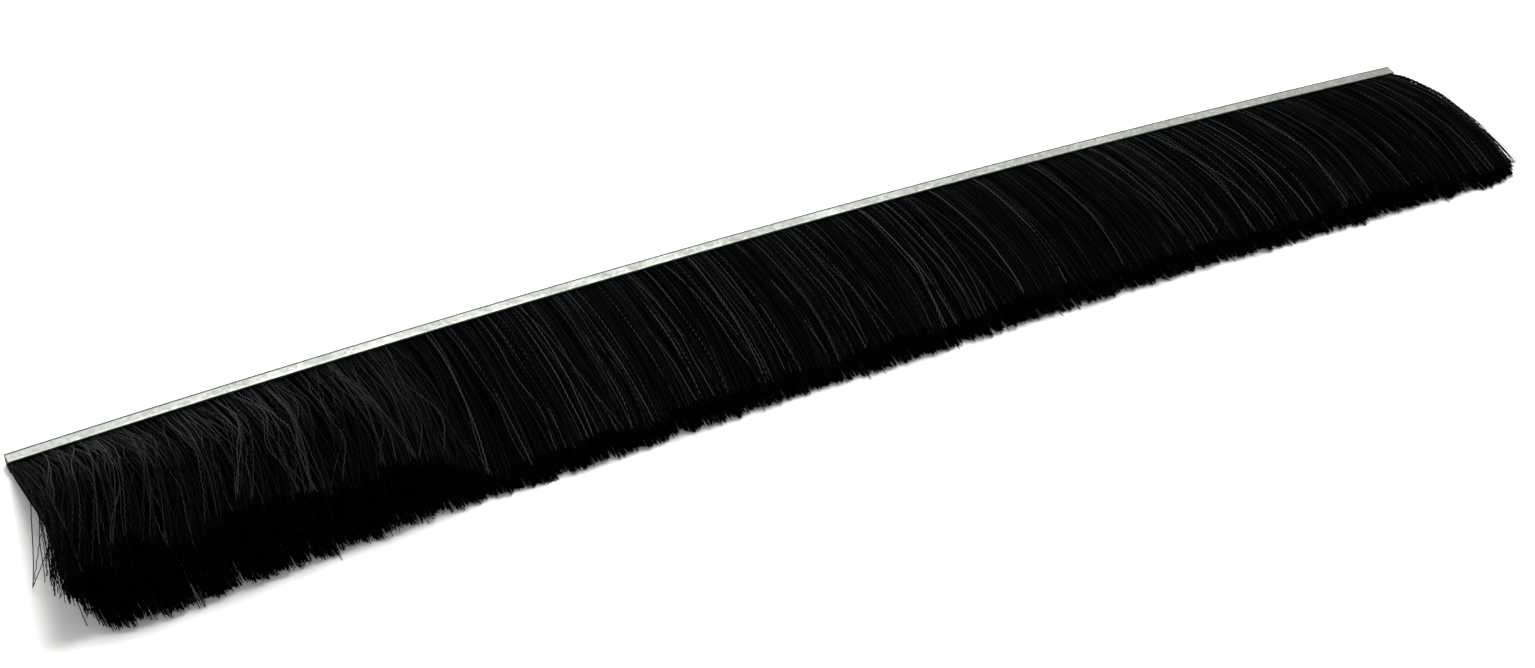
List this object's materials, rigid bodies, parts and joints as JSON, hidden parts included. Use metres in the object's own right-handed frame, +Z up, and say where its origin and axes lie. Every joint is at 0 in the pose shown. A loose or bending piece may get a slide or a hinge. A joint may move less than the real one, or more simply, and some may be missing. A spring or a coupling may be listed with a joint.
{
  "type": "door sweep brush strip",
  "caption": "Metal-channel strip brush for a door bottom: folded steel channel crimped over a core wire and a deep row of drooping black filaments.",
  "frame": {"origin": "middle of the channel's underside at mid-length, on the surface the strip lies on", "axes": "+X along the strip towards the end where the bristles lie flat, +Y from the bristle tips towards the back of the channel, +Z up, away from the surface the strip lies on"},
  "size_m": [0.9144, 0.1539, 0.045],
  "materials": {
    "galvanised_steel": "satin",
    "wire_steel": "satin",
    "filament": "satin"
  },
  "bodies": {
    "strip": {"channel": "galvanised_steel", "core_wire": "wire_steel", "bristle_root_01": "filament", "bristle_root_02": "filament", "bristle_root_03": "filament", "bristle_root_04": "filament", "bristle_root_05": "filament", "bristle_root_06": "filament", "bristle_root_07": "filament", "bristle_root_08": "filament", "bristle_root_09": "filament", "bristle_root_10": "filament", "bristle_root_11": "filament", "bristle_root_12": "filament"},
    "bundle_01": {"bristle_section_01": "filament"},
    "bundle_02": {"bristle_section_02": "filament"},
    "bundle_03": {"bristle_section_03": "filament"},
    "bundle_04": {"bristle_section_04": "filament"},
    "bundle_05": {"bristle_section_05": "filament"},
    "bundle_06": {"bristle_section_06": "filament"},
    "bundle_07": {"bristle_section_07": "filament"},
    "bundle_08": {"bristle_section_08": "filament"},
    "bundle_09": {"bristle_section_09": "filament"},
    "bundle_10": {"bristle_section_10": "filament"},
    "bundle_11": {"bristle_section_11": "filament"},
    "bundle_12": {"bristle_section_12": "filament"}
  },
  "joints": [
    {"name": "bristle_bend_01", "type": "hinge", "parent": "strip", "child": "bundle_01", "pos_m": [-0.41852, -0.01896, 0.00395], "axis": [0.9984, 0.0569, 0], "range_deg": [-45, 0], "stiffness_Nm_per_rad": 0.15},
    {"name": "bristle_bend_02", "type": "hinge", "parent": "strip", "child": "bundle_02", "pos_m": [-0.34248, -0.01503, 0.00395], "axis": [0.9989, 0.0466, 0], "range_deg": [-45, 0], "stiffness_Nm_per_rad": 0.15},
    {"name": "bristle_bend_03", "type": "hinge", "parent": "strip", "child": "bundle_03", "pos_m": [-0.26641, -0.01188, 0.00395], "axis": [0.9993, 0.0362, 0], "range_deg": [-45, 0], "stiffness_Nm_per_rad": 0.15},
    {"name": "bristle_bend_04", "type": "hinge", "parent": "strip", "child": "bundle_04", "pos_m": [-0.19032, -0.00951, 0.00395], "axis": [0.9997, 0.0259, 0], "range_deg": [-45, 0], "stiffness_Nm_per_rad": 0.15},
    {"name": "bristle_bend_05", "type": "hinge", "parent": "strip", "child": "bundle_05", "pos_m": [-0.1142, -0.00794, 0.00395], "axis": [0.9999, 0.0155, 0], "range_deg": [-45, 0], "stiffness_Nm_per_rad": 0.15},
    {"name": "bristle_bend_06", "type": "hinge", "parent": "strip", "child": "bundle_06", "pos_m": [-0.03807, -0.00715, 0.00395], "axis": [1, 0.0052, 0], "range_deg": [-45, 0], "stiffness_Nm_per_rad": 0.15},
    {"name": "bristle_bend_07", "type": "hinge", "parent": "strip", "child": "bundle_07", "pos_m": [0.03807, -0.00715, 0.00395], "axis": [1, -0.0052, 0], "range_deg": [-45, 0], "stiffness_Nm_per_rad": 0.15},
    {"name": "bristle_bend_08", "type": "hinge", "parent": "strip", "child": "bundle_08", "pos_m": [0.1142, -0.00794, 0.00395], "axis": [0.9999, -0.0155, 0], "range_deg": [-45, 0], "stiffness_Nm_per_rad": 0.15},
    {"name": "bristle_bend_09", "type": "hinge", "parent": "strip", "child": "bundle_09", "pos_m": [0.19032, -0.00951, 0.00395], "axis": [0.9997, -0.0259, 0], "range_deg": [-45, 0], "stiffness_Nm_per_rad": 0.15},
    {"name": "bristle_bend_10", "type": "hinge", "parent": "strip", "child": "bundle_10", "pos_m": [0.26641, -0.01188, 0.00395], "axis": [0.9993, -0.0362, 0], "range_deg": [-45, 0], "stiffness_Nm_per_rad": 0.15},
    {"name": "bristle_bend_11", "type": "hinge", "parent": "strip", "child": "bundle_11", "pos_m": [0.34248, -0.01503, 0.00395], "axis": [0.9989, -0.0466, 0], "range_deg": [-45, 0], "stiffness_Nm_per_rad": 0.15},
    {"name": "bristle_bend_12", "type": "hinge", "parent": "strip", "child": "bundle_12", "pos_m": [0.41852, -0.01896, 0.00395], "axis": [0.9984, -0.0569, 0], "range_deg": [-45, 0], "stiffness_Nm_per_rad": 0.15}
  ]
}
